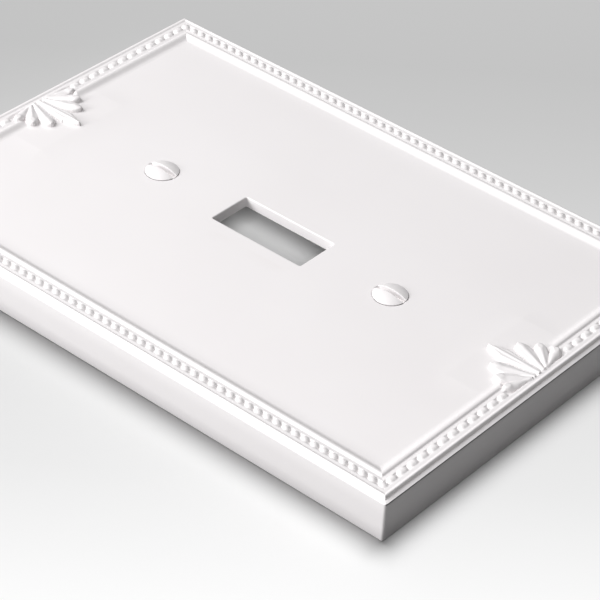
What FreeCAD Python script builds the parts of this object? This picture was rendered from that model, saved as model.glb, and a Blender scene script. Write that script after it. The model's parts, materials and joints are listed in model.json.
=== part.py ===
"""A decorative single-toggle wall plate with its two screws and their retaining washers.

Frame: millimetres. The origin is at the centre of the plane that meets the wall.
+Z points out of the wall, +Y runs up the plate along its long side, +X along its short side.
"""
import FreeCAD, Part
import math
import os

from FreeCAD import Matrix, Vector

# Plate
plate_width = 96.4
plate_height = 137.0
field_height = 8.7
face_thickness = 2.25
wall_thickness = 2.3
moulding_width = 9.0

# Moulding section
edge_round = 0.4
ledge_width = 0.8

# Turning points of the moulding: (inset from the outer wall, rise over the field)
riser_top = (0.97, 0.50)
rim_crown = (1.30, 0.74)
rim_foot = (1.70, 0.54)
rim_hollow = (2.15, 0.55)
channel_outer = (2.60, 0.50)
channel_floor_rise = 0.20
channel_inner = (4.00, 0.50)
ridge_foot = (4.85, 0.41)
ridge_crown = (5.40, 0.73)
ridge_back = (6.05, 0.53)
cove_hollow = (6.60, 0.18)
cove_end = (7.40, 0.00)

# Beads in the moulding's channel. A row is centred on its side, with a larger bead on each corner
bead_inset = 3.3
bead_radius = 1.10
bead_rise = 0.78
corner_bead_radius = 1.30
long_side_beads = 57
long_side_pitch = 2.24
short_side_beads = 30
short_side_pitch = 2.932
short_bead_stretch = 0.75
ornament_beads = 6

# Shell ornament at both ends: each leaf's turn from the long axis, length, width and rise
ornament_base_inset = 2.6
leaves = (
    (0.0, 12.3, 3.3, 1.15),
    (28.5, 9.5, 3.0, 1.05),
    (53.0, 9.0, 2.7, 1.00),
    (75.0, 8.8, 2.2, 0.90),
)

# Toggle opening
toggle_width = 10.3
toggle_length = 23.2

# Screws: number 6-32 oval head, three quarters of an inch from the rim of the head to the point;
# head_shoulder is a point on the dome: (radius, rise over the field)
screw_spacing = 60.325
thread_radius = 1.7525
screw_length = 19.05
neck_radius = 1.33
thread_top = 2.30
point_chamfer = 0.45
head_radius = 3.55
head_rim = 0.15
head_dome = 0.95
head_shoulder = (1.95, 0.74)
half_countersink_angle = 41.0
slot_width = 1.15
slot_depth = 1.35

# Screw holes and the pads behind them
seat_gap = 0.10
clearance_radius = 2.0
pad_radius = 5.2
pad_underside = 5.45

# Retaining washers
washer_radius = 3.9
washer_bore_radius = 1.40
washer_thickness = 0.6
washer_shoulder_gap = 0.05

# How far tool solids run past the material that they cut
overrun = 1.0


def section_wire(start, steps):
    """A closed wire of straight runs (end) and three-point arcs (through, end)."""
    edges = []
    here = Vector(*start)
    for step in steps:
        points = [Vector(*point) for point in step]
        if len(points) == 1:
            edges.append(Part.makeLine(here, points[0]))
        else:
            edges.append(Part.Arc(here, points[0], points[1]).toShape())
        here = points[-1]
    edges.append(Part.makeLine(here, Vector(*start)))
    return Part.Wire(edges)


def moulding_section():
    """The rim's section at the middle of the -X side: wall, ledge, rim, bead channel, ridge and cove."""

    def at(inset, rise):
        return (inset - plate_width / 2, 0, field_height + rise)

    half_round = edge_round * (1 - math.sqrt(0.5))
    wall_foot = -field_height
    under_face = -face_thickness
    steps = (
        (at(0, -edge_round),),
        (at(half_round, -half_round), at(edge_round, 0)),
        (at(ledge_width, 0),),
        (at(*riser_top),),
        (at(*rim_crown), at(*rim_foot)),
        (at(*rim_hollow), at(*channel_outer)),
        (at(bead_inset, channel_floor_rise), at(*channel_inner)),
        (at(*ridge_foot),),
        (at(*ridge_crown), at(*ridge_back)),
        (at(*cove_hollow), at(*cove_end)),
        (at(moulding_width, 0),),
        (at(moulding_width, under_face),),
        (at(wall_thickness, under_face),),
        (at(wall_thickness, wall_foot),),
    )
    return section_wire(at(0, wall_foot), steps)


def swept_rim():
    """The rim's section carried round the plate's outline, with mitred corners."""
    half_width, half_height = plate_width / 2, plate_height / 2
    corners = (
        Vector(-half_width, 0, 0),
        Vector(-half_width, half_height, 0),
        Vector(half_width, half_height, 0),
        Vector(half_width, -half_height, 0),
        Vector(-half_width, -half_height, 0),
        Vector(-half_width, 0, 0),
    )
    path = Part.makePolygon(corners)
    mitred = 1
    return path.makePipeShell([moulding_section()], True, False, mitred)


def field_slab():
    """The flat field inside the moulding."""
    width = plate_width - 2 * moulding_width
    height = plate_height - 2 * moulding_width
    corner = Vector(-width / 2, -height / 2, field_height - face_thickness)
    return Part.makeBox(width, height, face_thickness, corner)


def bead(x, y, radius, stretch):
    """One bead, round or stretched along X."""
    centre = Vector(x, y, field_height + bead_rise - radius)
    if not stretch:
        return Part.makeSphere(radius, centre)
    shift = Vector(stretch / 2, 0, 0)
    barrel = Part.makeCylinder(radius, stretch, centre - shift, Vector(1, 0, 0))
    ends = [Part.makeSphere(radius, centre + shift * side) for side in (-1, 1)]
    return barrel.fuse(ends).removeSplitter()


def beads():
    """The bead rows on all four sides, with a gap for the ornament in the middle of the short ones."""
    row_x = plate_width / 2 - bead_inset
    row_y = plate_height / 2 - bead_inset
    made = []
    for side in (-1, 1):
        for end in (-1, 1):
            made.append(bead(side * row_x, end * row_y, corner_bead_radius, 0))
        for index in range(long_side_beads):
            y = (index - (long_side_beads - 1) / 2) * long_side_pitch
            made.append(bead(side * row_x, y, bead_radius, 0))
    for end in (-1, 1):
        for index in range(short_side_beads):
            place = index - (short_side_beads - 1) / 2
            if abs(place) > ornament_beads / 2:
                x = place * short_side_pitch
                made.append(bead(x, end * row_y, bead_radius, short_bead_stretch))
    return made


def leaf(turn, length, width, rise):
    """One leaf of the shell, from its base at the origin: half an ellipsoid's length, width and rise."""
    stretch = Matrix()
    stretch.scale(width / 2, length / 2, rise)
    shape = Part.makeSphere(1.0).transformGeometry(stretch)
    shape.translate(Vector(0, length / 2, 0))
    shape.rotate(Vector(0, 0, 0), Vector(0, 0, 1), turn)
    return shape


def ornament(end):
    """The shell at one end: leaves that fan out from the moulding towards the plate's middle."""
    made = []
    for turn, length, width, rise in leaves:
        for side in (-1, 1) if turn else (1,):
            made.append(leaf(side * turn, length, width, rise))
    facing = 180.0 if end > 0 else 0.0
    base = Vector(0, end * (plate_height / 2 - ornament_base_inset), field_height)
    for shape in made:
        shape.rotate(Vector(0, 0, 0), Vector(0, 0, 1), facing)
        shape.translate(base)
    return made


def screw_hole(y):
    """The countersunk clearance hole for one screw."""
    mouth = head_radius + seat_gap
    cone_depth = (mouth - clearance_radius) / math.tan(math.radians(half_countersink_angle))
    cone_foot = field_height - cone_depth
    foot = Vector(0, y, pad_underside - overrun)
    shank = Part.makeCylinder(clearance_radius, field_height - foot.z + overrun, foot)
    cone = Part.makeCone(clearance_radius, mouth, cone_depth, Vector(0, y, cone_foot))
    lip = Part.makeCylinder(mouth, overrun, Vector(0, y, field_height))
    return shank.fuse([cone, lip])


def pad(y):
    """The round pad behind one screw hole, which the retaining washer comes up against."""
    height = field_height - face_thickness / 2 - pad_underside
    return Part.makeCylinder(pad_radius, height, Vector(0, y, pad_underside))


def toggle_opening():
    """The rectangular hole that the switch lever stands in."""
    corner = Vector(-toggle_width / 2, -toggle_length / 2, pad_underside)
    height = field_height - pad_underside + overrun
    return Part.makeBox(toggle_width, toggle_length, height, corner)


def cover_plate():
    """The whole casting: rim, field, beads, ornaments, pads and holes in one solid."""
    screw_places = (screw_spacing / 2, -screw_spacing / 2)
    added = [field_slab()] + [pad(y) for y in screw_places] + beads()
    body = swept_rim().fuse(added)
    for end in (-1, 1):
        for shape in ornament(end):
            body = body.fuse(shape)
    cut = [toggle_opening()] + [screw_hole(y) for y in screw_places]
    return body.cut(cut).removeSplitter().Solids[0]


def screw(y):
    """One oval-head slotted screw, standing in its hole with its head on the countersink."""
    cone_depth = (head_radius - neck_radius) / math.tan(math.radians(half_countersink_angle))
    rim_top = field_height + head_rim
    point = rim_top - screw_length
    shoulder_radius, shoulder_rise = head_shoulder
    steps = (
        ((thread_radius - point_chamfer, 0, point),),
        ((thread_radius, 0, point + point_chamfer),),
        ((thread_radius, 0, thread_top),),
        ((neck_radius, 0, thread_top),),
        ((neck_radius, 0, field_height - cone_depth),),
        ((head_radius, 0, field_height),),
        ((head_radius, 0, rim_top),),
        ((shoulder_radius, 0, field_height + shoulder_rise), (0, 0, field_height + head_dome)),
    )
    turned = Part.Face(section_wire((0, 0, point), steps))
    shape = turned.revolve(Vector(0, 0, 0), Vector(0, 0, 1), 360)
    shape.translate(Vector(0, y, 0))
    corner = Vector(-slot_width / 2, y - head_radius - overrun, field_height + head_dome - slot_depth)
    slot = Part.makeBox(slot_width, 2 * (head_radius + overrun), slot_depth + overrun, corner)
    return shape.cut(slot)


def retaining_washer(y):
    """One thin washer on the screw's neck, resting on the shoulder where the thread starts."""
    foot = Vector(0, y, thread_top + washer_shoulder_gap)
    disc = Part.makeCylinder(washer_radius, washer_thickness, foot)
    bore = Part.makeCylinder(washer_bore_radius, washer_thickness, foot)
    return disc.cut(bore)


def main():
    os.makedirs("parts", exist_ok=True)
    upper, lower = screw_spacing / 2, -screw_spacing / 2
    nodes = {
        "cover_plate": cover_plate(),
        "upper_screw": screw(upper),
        "lower_screw": screw(lower),
        "upper_retaining_washer": retaining_washer(upper),
        "lower_retaining_washer": retaining_washer(lower),
    }
    for name, shape in nodes.items():
        shape.exportStep(f"parts/{name}.step")
        print(name, "valid", shape.isValid(), "solids", len(shape.Solids), "mm3", round(shape.Volume, 1))


main()
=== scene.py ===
"""A decorative toggle wall plate with two captive screws, on a pale floor under soft light.

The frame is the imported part's: +Z out of the wall, +Y along the plate's long side. The object's sizes are in
millimetres, and Builder.make turns them into metres. Lights and the camera are placed in metres.
"""
import json
import math

import bpy
import numpy as np
from mathutils import Matrix, Vector
from mathutils.geometry import delaunay_2d_cdt


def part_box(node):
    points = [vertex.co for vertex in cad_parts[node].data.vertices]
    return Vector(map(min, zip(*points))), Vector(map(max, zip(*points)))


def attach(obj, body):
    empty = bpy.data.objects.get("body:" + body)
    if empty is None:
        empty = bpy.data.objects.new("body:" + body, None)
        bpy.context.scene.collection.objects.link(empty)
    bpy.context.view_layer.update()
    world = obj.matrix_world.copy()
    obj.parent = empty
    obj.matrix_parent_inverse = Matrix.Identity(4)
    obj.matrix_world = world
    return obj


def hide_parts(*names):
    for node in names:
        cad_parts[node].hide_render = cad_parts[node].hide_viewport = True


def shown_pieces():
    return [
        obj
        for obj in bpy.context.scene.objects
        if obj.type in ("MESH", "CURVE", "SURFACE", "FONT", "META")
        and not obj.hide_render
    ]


MM = 0.001

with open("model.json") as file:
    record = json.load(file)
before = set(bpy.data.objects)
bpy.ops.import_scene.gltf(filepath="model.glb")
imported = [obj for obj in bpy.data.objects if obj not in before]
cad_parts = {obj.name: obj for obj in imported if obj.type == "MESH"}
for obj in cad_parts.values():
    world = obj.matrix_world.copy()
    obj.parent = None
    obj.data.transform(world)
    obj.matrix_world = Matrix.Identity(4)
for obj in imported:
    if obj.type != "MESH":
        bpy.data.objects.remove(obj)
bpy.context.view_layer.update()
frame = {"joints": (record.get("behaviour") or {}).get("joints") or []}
joints = {joint["name"]: joint for joint in frame["joints"]}


# ---------------------------------------------------------------- driving sizes, in millimetres


def box_in_mm(node):
    """A CAD node's lowest and highest corners, in millimetres."""
    return [np.array(corner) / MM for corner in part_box(node)]


# Plate
_, plate_high = box_in_mm("cover_plate")
HALF_X = float(plate_high[0])
HALF_Y = float(plate_high[1])
FIELD = joints["upper_screw_turn"]["pos_m"][2] / MM
FACE_THICKNESS = 2.25
CEILING = FIELD - FACE_THICKNESS
WALL = 2.3
CORNER_ROUND = 0.5
TOP_ROUND = 0.4
FOOT_ROUND = 0.25
CAVITY_FILLET = 0.9

# Beads in the moulding's channel
BEAD_INSET = 3.3
BEAD_RADIUS = 1.10
BEAD_RISE = 0.78
BEAD_BLEND = 0.09
CHANNEL_FLOOR = 0.20
CHANNEL_HALF = 0.70
CORNER_BEAD_RADIUS = 1.30
LONG_BEADS = 57
LONG_PITCH = 2.24
SHORT_BEADS = 30
SHORT_PITCH = 2.932
SHORT_STRETCH = 0.75
ORNAMENT_BEADS = 6

# The moulding on both sides of the channel: (inset from the outer wall, rise over the field)
RIM_PROFILE = (
    (0.00, -TOP_ROUND), (0.03, -0.25), (0.117, -0.117), (0.25, -0.03), (0.40, 0.00), (0.80, 0.00),
    (0.87, 0.05), (0.92, 0.25), (1.00, 0.52), (1.12, 0.68), (1.30, 0.74), (1.48, 0.68),
    (1.62, 0.58), (1.74, 0.54), (1.86, 0.53), (2.12, 0.54), (2.35, 0.54), (2.60, 0.50),
)
RIDGE_PROFILE = (
    (4.00, 0.50), (4.35, 0.47), (4.75, 0.40), (4.90, 0.43), (5.05, 0.58), (5.20, 0.69), (5.45, 0.73),
    (5.75, 0.68), (6.05, 0.53), (6.40, 0.30), (6.80, 0.10), (7.10, 0.02), (7.40, 0.00), (99.0, 0.00),
)

# Shell ornament. A lobe's base stands out to its side by BASE_SPREAD, as a share of its tip's distance
SHELL_BASE_INSET = 2.6
BASE_SPREAD = 0.32
LOBE_WIDEST = 0.70
LOBE_FOOT = 0.34
LOBE_BLEND = 0.34
POINTED_TIP = 0.34
FLUTE_DEPTH = 0.060
NO_LOBE = -0.3
SHELL_LOBES = (
    # turn from the long axis, length, half width, thickness, flutes, curl of the tip
    (0.0, 12.1, 1.75, 0.62, 3, 0.10),
    (28.5, 9.4, 1.60, 0.56, 2, 0.28),
    (53.0, 8.9, 1.45, 0.58, 2, 0.45),
    (77.0, 8.8, 1.15, 0.54, 1, 0.60),
)
ORNAMENT_CLEARANCE = 0.03
ORNAMENT_TOP = float(plate_high[2]) - FIELD - ORNAMENT_CLEARANCE

# Toggle opening
TOGGLE_HALF_X = 5.15
TOGGLE_HALF_Y = 11.6
TOGGLE_CORNER = 0.35
TOGGLE_LIP = 0.22

# Screw holes, and the pads behind them
SCREW_Y = joints["upper_screw_turn"]["pos_m"][1] / MM
MOUTH_RADIUS = 3.65
MOUTH_LIP = 0.12
SHANK_HOLE_RADIUS = 2.0
CONE_SLOPE = math.tan(math.radians(49.0))
PAD_RADIUS = 5.2
PAD_UNDERSIDE = 5.45
HOLE_POINTS = 96

# Screws. The slot cuts the very top off the dome, so the CAD box ends a little below it
screw_low, screw_high = box_in_mm("upper_screw")
DOME_CUT = 0.019
HEAD_RADIUS = float(screw_high[0])
HEAD_RIM = 0.15
HEAD_DOME = float(screw_high[2]) - FIELD + DOME_CUT
SLOT_HALF = 0.575
SLOT_LIP = 0.05
SLOT_FLOOR = -0.40
NECK_RADIUS = 1.33
CONE_DEPTH = (HEAD_RADIUS - NECK_RADIUS) * CONE_SLOPE
THREAD_RADIUS = 1.7525
THREAD_SLACK = 0.012
THREAD_TOP = 2.30
THREAD_PITCH = 0.79375
THREAD_DEPTH = 0.61343 * THREAD_PITCH
POINT = float(screw_low[2])
POINT_CHAMFER = 0.45
POINT_SLACK = 0.005
SHANK_POINTS = 44

# Retaining washers
washer_low, washer_high = box_in_mm("upper_retaining_washer")
WASHER_RADIUS = float(washer_high[0])
WASHER_BORE = 1.40
WASHER_FOOT = float(washer_low[2])
WASHER_TOP = float(washer_high[2])
WASHER_POINTS = 90

# Mesh of the face: rows by their inset, columns along the sides, and a finer patch under each ornament
FACE_ROWS = np.concatenate([
    [0.0, 0.03, 0.117, 0.25, 0.40, 0.60, 0.80, 0.87, 0.92, 1.00, 1.12, 1.30, 1.48, 1.62, 1.74, 1.86, 2.02],
    [2.12, 2.22, 2.35],
    np.linspace(2.50, 4.00, 11),
    [4.12, 4.25, 4.38, 4.50, 4.62, 4.75, 4.83, 4.90, 4.97, 5.05, 5.12, 5.20, 5.32, 5.45, 5.60, 5.75, 5.90],
    [6.05, 6.22, 6.40, 6.60, 6.80, 6.95, 7.10, 7.40],
])
CORNER_COLUMNS = (0.0, 0.06, 0.13, 0.21, 0.30, 0.40)
COLUMN_STEP = 0.19
FINE_STEP = 0.13
PATCH_HALF = 12.4
PATCH_INSET = 15.6
PATCH_ROWS = 56
OUTLINE_STEP = 1.0
WELD = 0.004
FINE_WELD = 0.002


# ---------------------------------------------------------------- mesh helpers


class Builder:
    """Gathers vertices and faces, in millimetres, and makes one mesh object of them."""

    def __init__(self):
        self.points = []
        self.faces = []

    def add(self, points):
        """Adds an array of points and returns their index numbers, in the same layout."""
        points = np.asarray(points, float)
        start = sum(len(chunk) for chunk in self.points)
        self.points.append(points.reshape(-1, 3))
        return (start + np.arange(points[..., 0].size)).reshape(points.shape[:-1])

    def grid(self, index, flip=False, closed=False):
        """Quads between neighbouring rows and columns of a two-dimensional index array."""
        if closed:
            index = np.concatenate([index, index[:, :1]], axis=1)
        a, b, c, d = index[:-1, :-1], index[1:, :-1], index[1:, 1:], index[:-1, 1:]
        order = (a, d, c, b) if flip else (a, b, c, d)
        self.faces += np.stack(order, axis=-1).reshape(-1, 4).tolist()

    def shift(self, offset):
        """Moves everything gathered so far."""
        self.points = [chunk + np.array(offset) for chunk in self.points]

    def make(self, name, merge):
        """Makes the object, in metres. Points within merge of each other become one."""
        mesh = bpy.data.meshes.new(name)
        points = np.concatenate(self.points) * MM
        points, faces = welded(points, self.faces, merge * MM)
        mesh.from_pydata(points.tolist(), [], faces)
        mesh.validate()
        mesh.update()
        thing = bpy.data.objects.new(name, mesh)
        bpy.context.scene.collection.objects.link(thing)
        return thing


def welded(points, faces, reach):
    """Points that lie within reach of each other become one, and faces that collapse go."""
    keys = np.round(points / reach).astype(np.int64)
    _, first, same = np.unique(keys, axis=0, return_index=True, return_inverse=True)
    same = same.reshape(-1)
    kept = []
    for face in faces:
        ring = []
        for corner in face:
            number = int(same[corner])
            if not ring or ring[-1] != number:
                ring.append(number)
        if len(ring) > 1 and ring[0] == ring[-1]:
            ring.pop()
        if len(set(ring)) >= 3:
            kept.append(ring)
    return points[first], kept


def shade(thing, degrees):
    """Smooth shading, kept sharp where faces meet at more than an angle."""
    mesh = thing.data
    mesh.polygons.foreach_set("use_smooth", [True] * len(mesh.polygons))
    mesh.set_sharp_from_angle(angle=math.radians(degrees))


def smooth_max(a, b, blend):
    """The higher of two heights, with the crease between them rounded over blend."""
    h = np.clip(0.5 + 0.5 * (a - b) / blend, 0, 1)
    return b + (a - b) * h + blend * h * (1 - h)


def smooth_step(low, high, x):
    """Rises smoothly from 0 at low to 1 at high."""
    t = np.clip((x - low) / (high - low), 0, 1)
    return t * t * (3 - 2 * t)


def bump(x, centre, width):
    """A smooth hill of height one."""
    return np.exp(-(((x - centre) / width) ** 2))


# ---------------------------------------------------------------- cover plate: relief of the face


def moulding_rise(inset):
    """The moulding's rise over the field, at an inset from the outer wall. The channel is a parabola."""
    depth = RIM_PROFILE[-1][1] - CHANNEL_FLOOR
    away = np.linspace(-0.6, 0.6, 9)
    channel = np.column_stack([BEAD_INSET + away, CHANNEL_FLOOR + depth * (away / CHANNEL_HALF) ** 2])
    across, rise = np.concatenate([RIM_PROFILE, channel, RIDGE_PROFILE]).T
    return np.interp(inset, across, rise)


def bead_rise(inset, along, beads, pitch, stretch, left_out):
    """A centred row of beads with some left out of its middle."""
    half = beads * pitch / 2
    number = np.floor((along + half) / pitch)
    away = np.abs(along + half - (number + 0.5) * pitch)
    away = np.maximum(away - stretch / 2, 0)
    distance = np.hypot(away, inset - BEAD_INSET)
    middle = np.abs(number + 0.5 - beads / 2) < left_out / 2
    absent = (number < 0) | (number >= beads) | middle
    return np.where(absent, -1.0, dome(distance, BEAD_RADIUS))


def dome(distance, radius):
    """Height of a sphere that stands BEAD_RISE over the field, or -1 outside it."""
    high = np.sqrt(np.maximum(radius**2 - distance**2, 0)) - radius + BEAD_RISE
    return np.where(distance < radius, high, -1.0)


def lobe_rise(x, y, turn, length, half_width, thickness, flutes, curl):
    """One lobe of the shell. It widens from its base to a thick curled tip, and the middle one is pointed."""
    tip_x, tip_y = length * math.sin(math.radians(turn)), length * math.cos(math.radians(turn))
    x = x - BASE_SPREAD * tip_x
    angle = math.atan2((1 - BASE_SPREAD) * tip_x, tip_y)
    length = math.hypot((1 - BASE_SPREAD) * tip_x, tip_y)
    along = x * math.sin(angle) + y * math.cos(angle)
    across = x * math.cos(angle) - y * math.sin(angle)
    across = across + 0.05 * np.sign(turn) * np.maximum(along - 4.0, 0) ** 2 / length
    share = along / length

    widening = half_width * (LOBE_FOOT + (1 - LOBE_FOOT) * smooth_step(0.0, LOBE_WIDEST, share))
    if turn == 0.0:
        tip = half_width * np.clip((1 - share) / POINTED_TIP, 0, 1) ** 0.75
    else:
        past = (share - LOBE_WIDEST) / (1 - LOBE_WIDEST)
        tip = half_width * np.sqrt(np.clip(1 - past**2, 0, 1))
    width = np.where(share > LOBE_WIDEST, np.minimum(widening, tip), widening)
    side = across / np.maximum(width, 1e-3)

    pillow = np.clip(1 - np.abs(side) ** 2.6, 0, 1)
    lift = 0.30 + 0.12 * smooth_step(0.0, 0.6, share)
    thick = thickness * (1 + curl * bump(share, 0.84, 0.12))
    fade = smooth_step(0.1, 0.4, share) * (1 - smooth_step(0.8, 0.95, share))
    flute = FLUTE_DEPTH * np.cos(math.pi * flutes * side) * fade
    body = lift * np.clip(pillow * 4, 0, 1) + (thick - 0.05) * pillow**0.8 + flute * pillow
    return np.where((share > -0.02) & (share < 1) & (np.abs(side) < 1), body, NO_LOBE)


def shell_rise(x, inset):
    """The whole shell ornament at one end, over the moulding."""
    y = inset - SHELL_BASE_INSET
    high = np.full(np.shape(x), NO_LOBE)
    for turn, *lobe in reversed(SHELL_LOBES):
        for side in (-1, 1) if turn else (1,):
            high = smooth_max(high, lobe_rise(x, y, side * turn, *lobe), LOBE_BLEND)
    collar = 0.78 * bump(np.hypot(x, y), 0.0, 5.0) * smooth_step(-0.5, 0.6, y) - 0.2
    return np.minimum(smooth_max(high, collar, 0.2), ORNAMENT_TOP)


def face_height(x, y, inset, short_side):
    """Height of the plate's face over the wall plane. The moulding fades out under the shell."""
    rise = moulding_rise(inset)
    if short_side:
        row = bead_rise(inset, x, SHORT_BEADS, SHORT_PITCH, SHORT_STRETCH, ORNAMENT_BEADS)
    else:
        row = bead_rise(inset, y, LONG_BEADS, LONG_PITCH, 0.0, 0)
    corner = np.hypot(np.abs(x) - (HALF_X - BEAD_INSET), np.abs(y) - (HALF_Y - BEAD_INSET))
    row = np.maximum(row, dome(corner, CORNER_BEAD_RADIUS))
    rise = smooth_max(rise, row, BEAD_BLEND)
    if short_side:
        under = 1 - smooth_step(7.4, 8.8, np.hypot(x, inset - SHELL_BASE_INSET))
        rise = rise * (1 - under * smooth_step(2.35, 3.0, inset))
        rise = smooth_max(rise, shell_rise(x, inset), 0.15)
    return FIELD + rise


# ---------------------------------------------------------------- cover plate: the mesh


def round_corners(points, radius):
    """Points near the four outer vertical corners move onto a rounded corner."""
    moved = points.copy()
    inner = np.array([HALF_X - radius, HALF_Y - radius])
    over = np.abs(points[..., :2]) - inner
    near = (over[..., 0] > 0) & (over[..., 1] > 0)
    square = over.max(axis=-1)
    length = np.hypot(over[..., 0], over[..., 1])
    scale = np.where(near, square / np.maximum(length, 1e-9), 1.0)
    for axis in (0, 1):
        rounded = np.sign(points[..., axis]) * (inner[axis] + over[..., axis] * scale)
        moved[..., axis] = np.where(near, rounded, points[..., axis])
    return moved


def side_shares(half_length, fine_half):
    """Places along one side as shares from 0 to 1, closer together at the corners and the ornament."""
    length = 2 * half_length
    runs = (
        (CORNER_ROUND - half_length, -fine_half, COLUMN_STEP),
        (-fine_half, fine_half, FINE_STEP),
        (fine_half, half_length - CORNER_ROUND, COLUMN_STEP),
    )
    middle = []
    for start, end, step in runs:
        if end > start:
            count = int(round((end - start) / step))
            middle += (half_length + np.linspace(start, end, count + 1)[:-1]).tolist()
    far = [length - CORNER_ROUND] + [length - column for column in reversed(CORNER_COLUMNS)]
    places = np.concatenate([CORNER_COLUMNS, middle, far])
    return places / length


def side_points(side, insets, heights):
    """A mitred strip along one side: rows at the insets, columns along the side.

    Sides 0 and 2 are the short ones (-Y, +Y), and 1 and 3 the long ones (+X, -X). Without heights it is
    the plate's face.
    """
    short_side = side % 2 == 0
    reach, depth = (HALF_X, HALF_Y) if short_side else (HALF_Y, HALF_X)
    shares = side_shares(reach, PATCH_HALF if short_side else 0.0)
    inset = np.asarray(insets, float)[:, None] + 0 * shares[None, :]
    along = (reach - inset) * (2 * shares[None, :] - 1)
    out = depth - inset
    x, y = {0: (along, -out), 1: (out, along), 2: (-along, out), 3: (-out, -along)}[side]
    if heights is None:
        z = face_height(x, y, inset, short_side)
    else:
        z = np.asarray(heights, float)[:, None] + 0 * along
    return np.stack([x, y, z], axis=-1)


def all_round(builder, insets, heights):
    """One closed band of four mitred strips. Returns the index array, with columns running round."""
    strips = [side_points(side, insets, heights)[:, :-1] for side in range(4)]
    lengths = [strip.shape[1] for strip in strips]
    index = builder.add(round_corners(np.concatenate(strips, axis=1), CORNER_ROUND))
    builder.grid(index, closed=True, flip=True)
    return index, lengths


def circle(centre_y, radius, count, z):
    """A level ring of points round an axis at x = 0."""
    turn = np.arange(count) * 2 * math.pi / count
    return np.stack([radius * np.cos(turn), centre_y + radius * np.sin(turn), 0 * turn + z], axis=-1)


def rounded_rectangle(half_x, half_y, corner, z):
    """A rectangle's outline with small round corners and a point every millimetre or so, anticlockwise."""
    outline = []
    for quarter, (sign_x, sign_y) in enumerate(((1, 1), (-1, 1), (-1, -1), (1, -1))):
        centre = np.array([sign_x * (half_x - corner), sign_y * (half_y - corner)])
        for step in range(5):
            turn = math.radians(90 * quarter + 22.5 * step)
            outline.append(centre + corner * np.array([math.cos(turn), math.sin(turn)]))
    dense = []
    for here, there in zip(outline, outline[1:] + outline[:1]):
        count = max(1, int(math.dist(here, there) / OUTLINE_STEP))
        for step in range(count):
            dense.append([*(here + (there - here) * step / count), z])
    return np.array(dense)


def stack_rings(builder, rings, flip=False):
    """A tube of rings that have the same number of points."""
    builder.grid(builder.add(np.stack(rings)), closed=True, flip=flip)


def fill_flat(builder, outline, holes, z, facing, spacing):
    """A flat triangulated sheet inside an outline, less its holes, with extra points on a loose grid."""
    loops = [outline] + holes
    corners, edges = [], []
    for loop in loops:
        start = len(corners)
        corners += [Vector((float(p[0]), float(p[1]))) for p in loop]
        edges += [(start + k, start + (k + 1) % len(loop)) for k in range(len(loop))]
    low, high = outline.min(axis=0), outline.max(axis=0)
    spots = [
        (x, y)
        for x in np.arange(low[0] + spacing / 2, high[0], spacing)
        for y in np.arange(low[1] + spacing / 2, high[1], spacing)
    ]
    clear = np.array(spots)
    keep = inside(clear, outline)
    for hole in holes:
        keep &= ~inside(clear, hole)
    for loop in loops:
        gap = np.hypot(clear[:, None, 0] - loop[None, :, 0], clear[:, None, 1] - loop[None, :, 1])
        keep &= gap.min(axis=1) > spacing * 0.45
    corners += [Vector((float(x), float(y))) for x, y in clear[keep]]
    flat, _, triangles, _, _, _ = delaunay_2d_cdt(corners, edges, [], 0, 1e-5)
    flat = np.array([(p.x, p.y) for p in flat])
    triangles = np.array([tuple(t) for t in triangles])
    middle = flat[triangles].mean(axis=1)
    keep = inside(middle, outline)
    for hole in holes:
        keep &= ~inside(middle, hole)
    triangles = triangles[keep]
    a, b, c = (flat[triangles[:, k]] for k in range(3))
    area = (b[:, 0] - a[:, 0]) * (c[:, 1] - a[:, 1]) - (b[:, 1] - a[:, 1]) * (c[:, 0] - a[:, 0])
    turned = area < 0 if facing > 0 else area > 0
    triangles[turned] = triangles[turned][:, ::-1]
    index = builder.add(np.column_stack([flat, np.full(len(flat), z)]))
    builder.faces += index[triangles].tolist()


def inside(points, loop):
    """Which points lie inside a closed loop, by counting crossings."""
    x, y = points[:, 0][:, None], points[:, 1][:, None]
    ax, ay = loop[:, 0][None], loop[:, 1][None]
    bx, by = np.roll(loop[:, 0], -1)[None], np.roll(loop[:, 1], -1)[None]
    spans = (ay > y) != (by > y)
    crossing = ax + (y - ay) * (bx - ax) / np.where(spans, by - ay, 1.0)
    return (np.sum(spans & (x < crossing), axis=1) % 2) == 1


def field_outline(builder, index, lengths):
    """The inner edge of the moulding, led round the two ornament patches, which are added here."""
    points = np.concatenate(builder.points)
    edge = index[-1]
    starts = np.concatenate([[0], np.cumsum(lengths)])
    outline = []
    for side in range(4):
        columns = edge[starts[side]:starts[side + 1]]
        run = points[columns]
        if side % 2:
            outline += run.tolist()
            continue
        beside = np.flatnonzero(np.abs(run[:, 0]) < PATCH_HALF)
        first, last = beside[0], beside[-1]
        edge_inset = FACE_ROWS[-1]
        insets = np.concatenate([[edge_inset], np.linspace(edge_inset + 0.15, PATCH_INSET, PATCH_ROWS)])
        x = run[first:last + 1, 0][None, :] + 0 * insets[:, None]
        inset = insets[:, None] + 0 * x
        y = (HALF_Y - inset) * (-1 if side == 0 else 1)
        z = face_height(x, y, inset, True)
        z[-1, :] = FIELD
        z[:, 0] = FIELD
        z[:, -1] = FIELD
        patch = builder.add(np.stack([x, y, z], axis=-1))
        builder.grid(patch, flip=True)
        points = np.concatenate(builder.points)
        outline += run[:first].tolist()
        outline += points[patch[:, 0]].tolist()
        outline += points[patch[-1, 1:-1]].tolist()
        outline += points[patch[::-1, -1]].tolist()
        outline += run[last + 1:].tolist()
    return np.array(outline)


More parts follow.
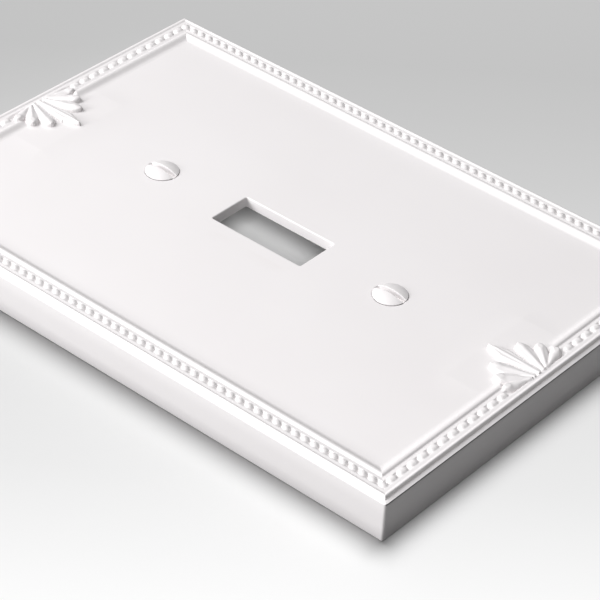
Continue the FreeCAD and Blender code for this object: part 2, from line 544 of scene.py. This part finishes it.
def walls_and_cavity(builder):
    """The side walls, their foot and the hollow back, up to the ceiling. Returns the ceiling's outline."""
    round_over = 0.073
    insets = [0.0, 0.0, 0.0, 0.0, round_over, 0.25, WALL - 0.25, WALL - round_over, WALL, WALL]
    heights = [FIELD - TOP_ROUND, 5.6, 2.9, FOOT_ROUND, round_over, 0.0, 0.0, round_over, FOOT_ROUND, 3.0]
    curve = np.radians(np.linspace(0, 90, 5))
    insets += (WALL + CAVITY_FILLET * (1 - np.cos(curve))).tolist()
    heights += (CEILING - CAVITY_FILLET * (1 - np.sin(curve))).tolist()
    back, _ = all_round(builder, insets[::-1], heights[::-1])
    return np.concatenate(builder.points)[back[0]]


def toggle_rings():
    """Rings down the toggle opening, from its rounded lip to the ceiling."""
    rings = []
    for turn in np.radians(np.linspace(90, 0, 4)):
        grow = TOGGLE_LIP * (1 - math.cos(turn))
        height = FIELD - TOGGLE_LIP * (1 - math.sin(turn))
        half_x, half_y = TOGGLE_HALF_X + grow, TOGGLE_HALF_Y + grow
        rings.append(rounded_rectangle(half_x, half_y, TOGGLE_CORNER + grow, height))
    for height in (CEILING + 0.9, CEILING):
        rings.append(rounded_rectangle(TOGGLE_HALF_X, TOGGLE_HALF_Y, TOGGLE_CORNER, height))
    return rings


def screw_hole_rings(centre):
    """Rings down one countersunk hole, out over its pad's underside and up the pad to the ceiling."""
    steps = [
        (MOUTH_RADIUS + MOUTH_LIP, FIELD),
        (MOUTH_RADIUS + MOUTH_LIP * 0.3, FIELD - MOUTH_LIP * 0.15),
        (MOUTH_RADIUS - MOUTH_LIP * 0.2, FIELD - MOUTH_LIP * 0.6),
    ]
    narrowing = SHANK_HOLE_RADIUS - MOUTH_RADIUS
    for share in (0.25, 0.5, 0.75, 1.0):
        steps.append((MOUTH_RADIUS + narrowing * share, FIELD + narrowing * CONE_SLOPE * share))
    steps += [
        (SHANK_HOLE_RADIUS, PAD_UNDERSIDE + 0.1),
        (SHANK_HOLE_RADIUS + 0.1, PAD_UNDERSIDE),
        (PAD_RADIUS - 0.15, PAD_UNDERSIDE),
        (PAD_RADIUS, PAD_UNDERSIDE + 0.15),
        (PAD_RADIUS, CEILING - 0.3),
        (PAD_RADIUS + 0.09, CEILING - 0.09),
        (PAD_RADIUS + 0.3, CEILING),
    ]
    return [circle(centre, radius, HOLE_POINTS, z) for radius, z in steps]


def make_cover_plate():
    """The casting: face, walls, hollow back, toggle opening, screw holes and pads in one mesh."""
    builder = Builder()
    index, lengths = all_round(builder, FACE_ROWS, None)
    outline = field_outline(builder, index, lengths)
    ceiling_edge = walls_and_cavity(builder)
    toggle = toggle_rings()
    holes = [screw_hole_rings(centre) for centre in (SCREW_Y, -SCREW_Y)]
    for rings in [toggle] + holes:
        stack_rings(builder, rings)
    mouths = [toggle[0]] + [rings[0] for rings in holes]
    fill_flat(builder, outline, mouths, FIELD, facing=1, spacing=5.0)
    feet = [toggle[-1]] + [rings[-1] for rings in holes]
    fill_flat(builder, ceiling_edge, feet, CEILING, facing=-1, spacing=6.0)
    plate = builder.make("cover_plate_body", WELD)
    shade(plate, 40.0)
    return plate


# ---------------------------------------------------------------- screws


def dome_rise(radius):
    """Height of the oval head over the field, at a distance from its axis."""
    share = np.clip(radius / HEAD_RADIUS, 0, 1)
    return HEAD_RIM + (HEAD_DOME - HEAD_RIM) * (1 - share**2) ** 0.92


def arc(radius, angles, z, side=1):
    """Points at one height, at a radius and angles from +X, or from -X where side is -1."""
    return np.stack([side * radius * np.cos(angles), radius * np.sin(angles), 0 * angles + z], axis=-1)


def slot_swing(turns, z):
    """The head's radius at a height, and angles from end to end of the slot, spaced as turns are."""
    radius = HEAD_RADIUS + min(z, 0) / CONE_SLOPE
    return radius, turns / turns[-1] * math.acos(SLOT_HALF / radius)


def head_half(builder, side, turns):
    """The right or left half of the head: its domed top, rim, cone and slot wall."""
    edge = SLOT_HALF + SLOT_LIP
    y_rim = HEAD_RADIUS * np.sin(turns)
    x_rim = HEAD_RADIUS * np.cos(turns)
    shares = np.array([0.0, 0.03, 0.1, 0.22, 0.36, 0.5, 0.64, 0.77, 0.88, 0.95, 1.0])[:, None]
    x = np.maximum(edge + (x_rim - edge)[None, :] * shares, edge)
    y = 0 * x + y_rim[None, :]
    top = np.stack([side * x, y, dome_rise(np.hypot(x, y))], axis=-1)
    builder.grid(builder.add(top), flip=side < 0)

    rows = [top[-1]]
    for z in (HEAD_RIM * 0.5, 0.0, -0.1, SLOT_FLOOR):
        radius, swing = slot_swing(turns, z)
        rows.append(arc(radius, swing, z, side))
    builder.grid(builder.add(np.stack(rows)), flip=side < 0)

    lip = top[0] + np.array([-side * SLOT_LIP, 0, -SLOT_LIP])
    walls = [top[0], lip]
    for z in (0.3, 0.1, -0.1, SLOT_FLOOR):
        radius, swing = slot_swing(turns, z)
        height = np.minimum(0 * swing + z, lip[:, 2])
        walls.append(np.stack([0 * swing + side * SLOT_HALF, radius * np.sin(swing), height], axis=-1))
    builder.grid(builder.add(np.stack(walls)), flip=side > 0)


def slot_floor(builder, turns):
    """The flat floor of the slot, whose ends follow the cone."""
    radius, swing = slot_swing(turns, SLOT_FLOOR)
    across = np.linspace(-SLOT_HALF, SLOT_HALF, 7)[:, None]
    reach = np.sqrt(radius**2 - across**2)
    y = reach * (np.sin(swing) / math.sin(swing[-1]))[None, :]
    builder.grid(builder.add(np.stack([0 * y + across, y, 0 * y + SLOT_FLOOR], axis=-1)))


def lower_cone(builder, turns):
    """The cone from the slot's floor down to the neck, all the way round."""
    _, swing = slot_swing(turns, SLOT_FLOOR)
    gap = np.linspace(swing[-1], math.pi - swing[-1], 7)[1:-1]
    angles = np.concatenate([swing, gap, math.pi + swing, math.pi + gap])
    rings = []
    for z in np.linspace(SLOT_FLOOR, -CONE_DEPTH, 7):
        rings.append(arc(HEAD_RADIUS + z / CONE_SLOPE, angles, z))
    stack_rings(builder, rings)


def make_screw_head(name, centre_y):
    """The enamelled oval head, with a straight slot that runs out through its cone."""
    builder = Builder()
    turns = math.acos(SLOT_HALF / HEAD_RADIUS) * np.sin(np.linspace(-math.pi / 2, math.pi / 2, 57))
    head_half(builder, 1, turns)
    head_half(builder, -1, turns)
    slot_floor(builder, turns)
    lower_cone(builder, turns)
    builder.shift((0, centre_y, FIELD))
    head = builder.make(name + "_head", FINE_WELD)
    shade(head, 30.0)
    return head


def thread_radius(share, z):
    """Radius of the thread at a share of its pitch and a height, with run-out at both ends."""
    corners = (-0.0625, 0.0625, 0.375, 0.625, 0.9375)
    depth = np.interp(share, corners, (0.0, 0.0, 1.0, 1.0, 0.0)) * THREAD_DEPTH
    run_out = smooth_step(0.0, 1.2 * THREAD_PITCH, THREAD_TOP - z) * smooth_step(0.0, 0.6, z - POINT)
    chamfer = THREAD_RADIUS - POINT_CHAMFER + (z - POINT)
    return np.minimum(THREAD_RADIUS - THREAD_SLACK - depth * run_out, chamfer - POINT_SLACK)


def thread(builder):
    """The helical thread: rows along the helix at shares of a pitch, cut off at the point and the top."""
    shares = (-0.0625, 0.0, 0.0625, 0.14, 0.22, 0.30, 0.375, 0.5, 0.625, 0.70, 0.78, 0.86)
    first = math.floor(POINT / THREAD_PITCH) - 2
    last = math.ceil(THREAD_TOP / THREAD_PITCH) + 2
    turn = np.arange(SHANK_POINTS + 1) / SHANK_POINTS
    cosine, sine = np.cos(turn * math.tau), np.sin(turn * math.tau)
    rows = []
    for number in range(first, last):
        for share in shares:
            z = np.clip((number + share + turn) * THREAD_PITCH, POINT, THREAD_TOP)
            radius = thread_radius(share, z)
            rows.append(np.stack([radius * cosine, radius * sine, z], axis=-1))
    builder.grid(builder.add(np.stack(rows)), flip=True)


def make_screw_shank(name, centre_y):
    """The plated shank: a plain neck, a rolled helical thread and a chamfered point."""
    builder = Builder()
    thread(builder)
    neck = (
        (THREAD_RADIUS - THREAD_SLACK, THREAD_TOP),
        (NECK_RADIUS + 0.12, THREAD_TOP),
        (NECK_RADIUS + 0.03, THREAD_TOP + 0.03),
        (NECK_RADIUS, THREAD_TOP + 0.12),
        (NECK_RADIUS, 3.6),
        (NECK_RADIUS, 4.9),
        (NECK_RADIUS, FIELD - CONE_DEPTH),
    )
    stack_rings(builder, [circle(0, radius, SHANK_POINTS, z) for radius, z in neck], flip=True)
    tip_radii = (0.0, 0.5, 1.0, THREAD_RADIUS - POINT_CHAMFER - POINT_SLACK)
    stack_rings(builder, [circle(0, radius, SHANK_POINTS, POINT) for radius in tip_radii], flip=True)
    builder.shift((0, centre_y, 0))
    shank = builder.make(name + "_shank", FINE_WELD)
    shade(shank, 32.0)
    return shank


# ---------------------------------------------------------------- retaining washers


def make_washer(name, centre_y):
    """A thin moulded washer: rounded rims, a shallow dished ring on both faces and a bevelled bore."""
    bevel, shoulder, dish = 0.14, 0.05, 0.06
    section = (
        (WASHER_BORE, bevel), (WASHER_BORE + shoulder, shoulder), (WASHER_BORE + bevel, 0.0),
        (2.05, 0.0), (2.12, dish), (3.05, dish), (3.12, 0.0),
        (WASHER_RADIUS - bevel, 0.0), (WASHER_RADIUS - shoulder, shoulder), (WASHER_RADIUS, bevel),
    )
    lower = [(radius, WASHER_FOOT + rise) for radius, rise in section]
    upper = [(radius, WASHER_TOP - rise) for radius, rise in reversed(section)]
    loop = lower + upper + lower[:1]
    builder = Builder()
    stack_rings(builder, [circle(centre_y, radius, WASHER_POINTS, z) for radius, z in loop], flip=True)
    washer = builder.make(name + "_moulding", FINE_WELD)
    shade(washer, 40.0)
    return washer


# ---------------------------------------------------------------- materials


def node_material(name):
    """A new material with one Principled shader. Returns it with its nodes, links and shader."""
    material = bpy.data.materials.new(name)
    material.use_nodes = True
    nodes, links = material.node_tree.nodes, material.node_tree.links
    nodes.clear()
    out = nodes.new("ShaderNodeOutputMaterial")
    shader = nodes.new("ShaderNodeBsdfPrincipled")
    links.new(shader.outputs[0], out.inputs[0])
    return material, nodes, links, shader


def noise(nodes, links, place, scale, detail, roughness=0.5, stretch=None):
    """Noise over object coordinates; scale is in cycles to the metre."""
    texture = nodes.new("ShaderNodeTexNoise")
    texture.inputs["Scale"].default_value = scale
    texture.inputs["Detail"].default_value = detail
    texture.inputs["Roughness"].default_value = roughness
    if stretch:
        mapping = nodes.new("ShaderNodeMapping")
        mapping.inputs["Scale"].default_value = stretch
        links.new(place, mapping.inputs["Vector"])
        place = mapping.outputs["Vector"]
    links.new(place, texture.inputs["Vector"])
    return texture.outputs["Fac"]


def place_and_shape(nodes):
    """Object coordinates, and pointiness: low in creases, high on edges."""
    place = nodes.new("ShaderNodeTexCoord").outputs["Object"]
    shape = nodes.new("ShaderNodeNewGeometry").outputs["Pointiness"]
    return place, shape


def tones(nodes, links, value, stops):
    """A colour ramp over a value. Stops are (position, colour)."""
    ramp = nodes.new("ShaderNodeValToRGB")
    elements = ramp.color_ramp.elements
    while len(elements) < len(stops):
        elements.new(0.5)
    for element, (position, colour) in zip(elements, stops):
        element.position = position
        element.color = (*colour, 1)
    links.new(value, ramp.inputs["Fac"])
    return ramp.outputs["Color"]


def spread(nodes, links, value, low, high, start=0.3, end=0.7):
    """A value mapped onto a range."""
    span = nodes.new("ShaderNodeMapRange")
    span.inputs["From Min"].default_value = start
    span.inputs["From Max"].default_value = end
    span.inputs["To Min"].default_value = low
    span.inputs["To Max"].default_value = high
    links.new(value, span.inputs["Value"])
    return span.outputs["Result"]


def mixed(nodes, links, share, first, second, kind="MIX"):
    """Two colours blended by a fixed or a varying share."""
    blend = nodes.new("ShaderNodeMix")
    blend.data_type = "RGBA"
    blend.blend_type = kind
    if isinstance(share, float):
        blend.inputs["Factor"].default_value = share
    else:
        links.new(share, blend.inputs["Factor"])
    links.new(first, blend.inputs[6])
    links.new(second, blend.inputs[7])
    return blend.outputs[2]


def bumped(nodes, links, shader, layers):
    """Bump layers (height, distance in metres, strength), one over another, into a shader's normal."""
    normal = None
    for height, distance, strength in layers:
        node = nodes.new("ShaderNodeBump")
        node.inputs["Distance"].default_value = distance
        node.inputs["Strength"].default_value = strength
        links.new(height, node.inputs["Height"])
        if normal:
            links.new(normal, node.inputs["Normal"])
        normal = node.outputs["Normal"]
    links.new(normal, shader.inputs["Normal"])


# Enamel's clouding, in cycles to the metre
ENAMEL_CLOUD = 38.0
WHITE = (1.0, 1.0, 1.0)


def enamel(name, shift):
    """Satin white enamel: soft unevenness, orange-peel skin, faint specks and painted shade in the creases.

    The shift sets the clouding of one enamelled part off from another's.
    """
    material, nodes, links, shader = node_material(name)
    place, shape = place_and_shape(nodes)
    cloud = noise(nodes, links, place, ENAMEL_CLOUD + shift, 3.0)
    speck = noise(nodes, links, place, 950.0, 2.0, 0.6)
    coat = tones(nodes, links, cloud, ((0.3, (0.795, 0.769, 0.774)), (0.7, (0.806, 0.782, 0.787))))
    # Painted shade: creases, where pointiness is low, are painted darker as if in shadow.
    crease_shade = tones(nodes, links, shape, ((0.40, (0.90, 0.875, 0.86)), (0.49, WHITE)))
    crease_shaded = mixed(nodes, links, 0.7, coat, crease_shade, "MULTIPLY")
    speckled = tones(nodes, links, speck, ((0.74, (0.0, 0.0, 0.0)), (0.82, (0.25, 0.25, 0.25))))
    grime = tones(nodes, links, cloud, ((0.0, (0.70, 0.665, 0.64)), (1.0, (0.72, 0.69, 0.66))))
    links.new(mixed(nodes, links, speckled, crease_shaded, grime), shader.inputs["Base Color"])
    links.new(spread(nodes, links, cloud, 0.34, 0.44), shader.inputs["Roughness"])
    shader.inputs["Coat Weight"].default_value = 0.12
    shader.inputs["Coat Roughness"].default_value = 0.25
    peel = noise(nodes, links, place, 620.0, 2.0)
    bumped(nodes, links, shader, ((peel, 0.000012, 0.30), (speck, 0.000004, 0.25)))
    return material


def plated_steel():
    """Zinc-plated steel: a dull blue-grey shine with drawn streaks and painted shade in the thread roots."""
    material, nodes, links, shader = node_material("plated_steel")
    place, shape = place_and_shape(nodes)
    cloud = noise(nodes, links, place, 420.0, 4.0, 0.6)
    streak = noise(nodes, links, place, 900.0, 3.0, 0.6, (1.0, 1.0, 6.0))
    plating = ((0.3, (0.50, 0.51, 0.53)), (0.55, (0.62, 0.62, 0.61)), (0.75, (0.66, 0.63, 0.55)))
    metal = tones(nodes, links, cloud, plating)
    # Painted shade: creases such as the thread roots, where pointiness is low, are painted darker and
    # yellower.
    root_shade = tones(nodes, links, shape, ((0.36, (0.55, 0.50, 0.42)), (0.48, (0.9, 0.9, 0.9)), (0.58, WHITE)))
    links.new(mixed(nodes, links, 0.85, metal, root_shade, "MULTIPLY"), shader.inputs["Base Color"])
    links.new(spread(nodes, links, streak, 0.22, 0.46), shader.inputs["Roughness"])
    shader.inputs["Metallic"].default_value = 1.0
    bumped(nodes, links, shader, ((streak, 0.00001, 0.35), (cloud, 0.00001, 0.2)))
    return material


def nylon():
    """Natural nylon: milky, slightly yellow, a fine moulded grain, cloudy depth and painted shade in creases.
    """
    material, nodes, links, shader = node_material("nylon")
    place, shape = place_and_shape(nodes)
    cloud = noise(nodes, links, place, 260.0, 4.0, 0.55)
    grain = noise(nodes, links, place, 2600.0, 2.0)
    milk = tones(nodes, links, cloud, ((0.3, (0.74, 0.71, 0.62)), (0.7, (0.83, 0.81, 0.74))))
    # Painted shade: this darkens the creases, where pointiness is low, and leaves the edges as they are.
    edge = tones(nodes, links, shape, ((0.42, (0.86, 0.84, 0.78)), (0.5, (0.97, 0.97, 0.95)), (0.58, WHITE)))
    links.new(mixed(nodes, links, 0.8, milk, edge, "MULTIPLY"), shader.inputs["Base Color"])
    links.new(spread(nodes, links, cloud, 0.38, 0.56), shader.inputs["Roughness"])
    shader.inputs["Subsurface Weight"].default_value = 0.15
    shader.inputs["Subsurface Scale"].default_value = 0.0006
    bumped(nodes, links, shader, ((grain, 0.00001, 0.3), (cloud, 0.00002, 0.2)))
    return material


# ---------------------------------------------------------------- assembly


def finish_piece(thing, material, body, node):
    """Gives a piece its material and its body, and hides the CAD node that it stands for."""
    thing.data.materials.append(material)
    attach(thing, body)
    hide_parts(node)


finish_piece(make_cover_plate(), enamel("plate_enamel", 0.0), "plate", "cover_plate")
head_enamel = enamel("screw_enamel", 55.0)
steel = plated_steel()
moulded_nylon = nylon()
for end, centre in (("upper", SCREW_Y), ("lower", -SCREW_Y)):
    screw, ring = end + "_screw", end + "_washer"
    finish_piece(make_screw_head(screw, centre), head_enamel, screw, screw)
    finish_piece(make_screw_shank(screw, centre), steel, screw, screw)
    finish_piece(make_washer(ring, centre), moulded_nylon, ring, end + "_retaining_washer")


# ---------------------------------------------------------------- floor, light and camera, in metres

FLOOR_HALF = 3.0
WORLD_STRENGTH = 0.115

# The floor paper darkens along a level direction as painted shade, for light falling off to the far side.
# Its greys stand at shares of the way from near to far
PAPER_DIRECTION = (0.7809, 0.6247, 0)
PAPER_NEAR, PAPER_FAR = -0.135, 0.12
PAPER_GREYS = (
    (0.0, 0.92), (0.137, 0.89), (0.278, 0.735), (0.412, 0.65), (0.67, 0.50), (0.765, 0.46), (0.843, 0.435),
)

# The camera stands on the plate's -X, -Y side and looks 36.6 degrees down
LENS = 156.1
CAMERA_PLACE = (-0.32617, -0.26900, 0.30637)
CAMERA_LOOK = (0.62657, 0.50139, -0.59667)
CAMERA_UP = (0.42588, 0.42091, 0.80091)


def flat_sheet(name, low, high, hole, material):
    """A level rectangle at the wall plane. Four strips leave a rectangular hole where one is given."""
    mesh = bpy.data.meshes.new(name)
    corners, faces = [], []
    spans = [(low, high)]
    if hole:
        (ax, ay), (bx, by) = hole
        spans = [
            ((low[0], low[1]), (high[0], ay)),
            ((low[0], by), (high[0], high[1])),
            ((low[0], ay), (ax, by)),
            ((bx, ay), (high[0], by)),
        ]
    for (x0, y0), (x1, y1) in spans:
        start = len(corners)
        corners += [(x0, y0, 0), (x1, y0, 0), (x1, y1, 0), (x0, y1, 0)]
        faces.append((start, start + 1, start + 2, start + 3))
    mesh.from_pydata(corners, [], faces)
    thing = bpy.data.objects.new(name, mesh)
    bpy.context.scene.collection.objects.link(thing)
    mesh.materials.append(material)
    return thing


def paper_with_painted_shade():
    """Matt paper painted from white on the near side to a light grey on the far side, as painted shade."""
    material, nodes, links, shader = node_material("paper_with_painted_shade")
    shader.inputs["Roughness"].default_value = 0.95
    shader.inputs["Specular IOR Level"].default_value = 0.1
    place = nodes.new("ShaderNodeTexCoord").outputs["Object"]
    away = nodes.new("ShaderNodeVectorMath")
    away.operation = "DOT_PRODUCT"
    away.inputs[1].default_value = PAPER_DIRECTION
    links.new(place, away.inputs[0])
    # Painted shade: the grey deepens towards the far side, where the light would fall off.
    share = spread(nodes, links, away.outputs["Value"], 0.0, 1.0, PAPER_NEAR, PAPER_FAR)
    shades = [(position, (grey, grey, grey)) for position, grey in PAPER_GREYS]
    links.new(tones(nodes, links, share, shades), shader.inputs["Base Color"])
    fibre = noise(nodes, links, place, 1500.0, 3.0)
    bumped(nodes, links, shader, ((fibre, 0.00001, 0.1),))
    return material


def area_light(name, receivers, place, size, power):
    """A softbox aimed at the origin. It lights only its receivers, and everything casts its shadow."""
    data = bpy.data.lights.new(name, "AREA")
    data.shape = "RECTANGLE"
    data.size, data.size_y = size
    data.energy = power
    lamp = bpy.data.objects.new(name, data)
    lamp.location = Vector(place)
    lamp.rotation_mode = "QUATERNION"
    lamp.rotation_quaternion = (-Vector(place)).to_track_quat("-Z", "Y")
    bpy.context.scene.collection.objects.link(lamp)
    lit = bpy.data.collections.new(name + "_receivers")
    for thing in receivers:
        lit.objects.link(thing)
    lamp.light_linking.receiver_collection = lit


def make_stage():
    """The floor round the plate, the floor inside its hollow back, the five lights and the world."""
    object_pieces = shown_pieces()
    paper = paper_with_painted_shade()
    under_x, under_y = (HALF_X - WALL / 2) * MM, (HALF_Y - WALL / 2) * MM
    under = ((-under_x, -under_y), (under_x, under_y))
    floor = flat_sheet("floor", (-FLOOR_HALF, -FLOOR_HALF), (FLOOR_HALF, FLOOR_HALF), under, paper)
    floor_inside = flat_sheet("floor_inside", *under, None, paper)
    floor.visible_diffuse = False
    area_light("key", object_pieces, place=(-0.36, 0.62, 0.70), size=(0.55, 0.55), power=7.6)
    area_light("fill", object_pieces, place=(-0.74, 0.42, 0.30), size=(0.4, 0.3), power=4.9)
    area_light("top", object_pieces, place=(-0.45, -0.10, 0.80), size=(0.45, 0.45), power=3.9)
    area_light("inside", [floor_inside], place=(-0.58, -0.46, 0.60), size=(0.8, 0.8), power=19.5)
    area_light("floor_light", [floor], place=(0.29, 0.17, 0.94), size=(0.62, 0.70), power=13.0)
    world = bpy.data.worlds.new("studio")
    world.use_nodes = True
    background = world.node_tree.nodes["Background"]
    background.inputs["Color"].default_value = (*WHITE, 1)
    background.inputs["Strength"].default_value = WORLD_STRENGTH
    bpy.context.scene.world = world
    bpy.context.scene.view_settings.view_transform = "Standard"


def make_camera():
    """The camera at the photograph's viewing angle."""
    data = bpy.data.cameras.new("camera")
    data.sensor_width = 36.0
    data.lens = LENS
    data.clip_start = 0.01
    data.clip_end = 20.0
    camera = bpy.data.objects.new("camera", data)
    bpy.context.scene.collection.objects.link(camera)
    camera.location = Vector(CAMERA_PLACE)
    look = Vector(CAMERA_LOOK).normalized()
    right = look.cross(Vector(CAMERA_UP)).normalized()
    up = right.cross(look)
    camera.rotation_mode = "QUATERNION"
    camera.rotation_quaternion = Matrix((right, up, -look)).transposed().to_quaternion()
    bpy.context.scene.camera = camera


make_stage()
make_camera()
